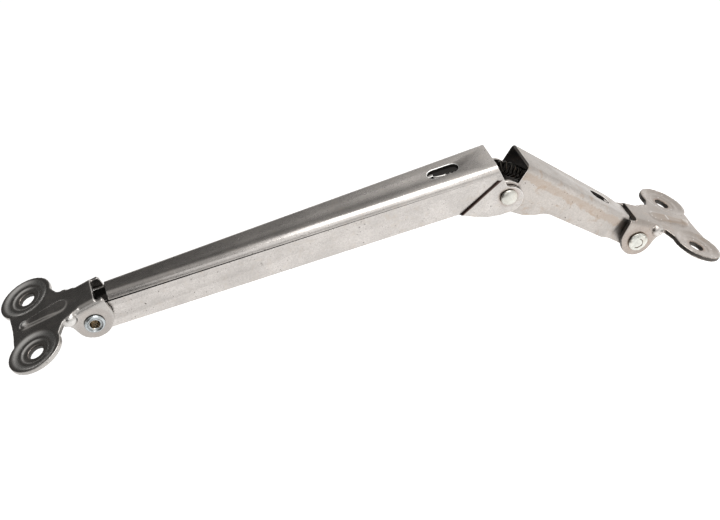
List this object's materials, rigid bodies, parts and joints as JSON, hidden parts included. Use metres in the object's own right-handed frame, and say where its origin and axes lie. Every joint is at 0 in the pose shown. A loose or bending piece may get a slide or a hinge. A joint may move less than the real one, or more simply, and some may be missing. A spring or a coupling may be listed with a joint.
{
  "type": "folding elbow stay",
  "caption": "Folding elbow stay: two pressed steel channel arms, clevis end plates and an over-elbow tension spring, holding a lid or flap open.",
  "frame": {"origin": "on the anchor bracket's mounting plane, midway between its two screw holes", "axes": "+Z out of the mounting plane towards the top of the anchor plate, +X from the anchor plate towards the arms, +Y along the pivots"},
  "size_m": [0.278, 0.0552, 0.136],
  "materials": {
    "bracket_dark": "satin, oiled",
    "bracket_light": "satin, light oxide",
    "channel_long": "satin",
    "channel_short": "satin, light oxide",
    "rivet_elbow": "zinc plated",
    "rivet_hollow": "zinc plated",
    "rivet_lid": "zinc plated, peened",
    "sleeve": "dull",
    "spring": "oiled wire"
  },
  "bodies": {
    "anchor": {"anchor_bracket": "bracket_dark", "anchor_rivet": "rivet_hollow"},
    "long": {"long_arm": "channel_long", "tension_spring": "spring"},
    "short": {"short_arm": "channel_short", "elbow_rivet": "rivet_elbow", "elbow_sleeve": "sleeve"},
    "lid": {"lid_bracket": "bracket_light", "lid_rivet": "rivet_lid"}
  },
  "joints": [
    {"name": "anchor_pivot", "type": "hinge", "parent": "anchor", "child": "long", "pos_m": [0.023, 0, -0.0062], "axis": [0, -1, 0], "range_deg": [-90, 23]},
    {"name": "elbow_pivot", "type": "hinge", "parent": "long", "child": "short", "pos_m": [0.19286, 0, -0.04991], "axis": [0, -1, 0], "range_deg": [-112, 55], "deforming": ["tension_spring"]},
    {"name": "lid_pivot", "type": "hinge", "parent": "short", "child": "lid", "pos_m": [0.23619, 0, -0.11103], "axis": [0, -1, 0], "range_deg": [-105, 2]}
  ]
}
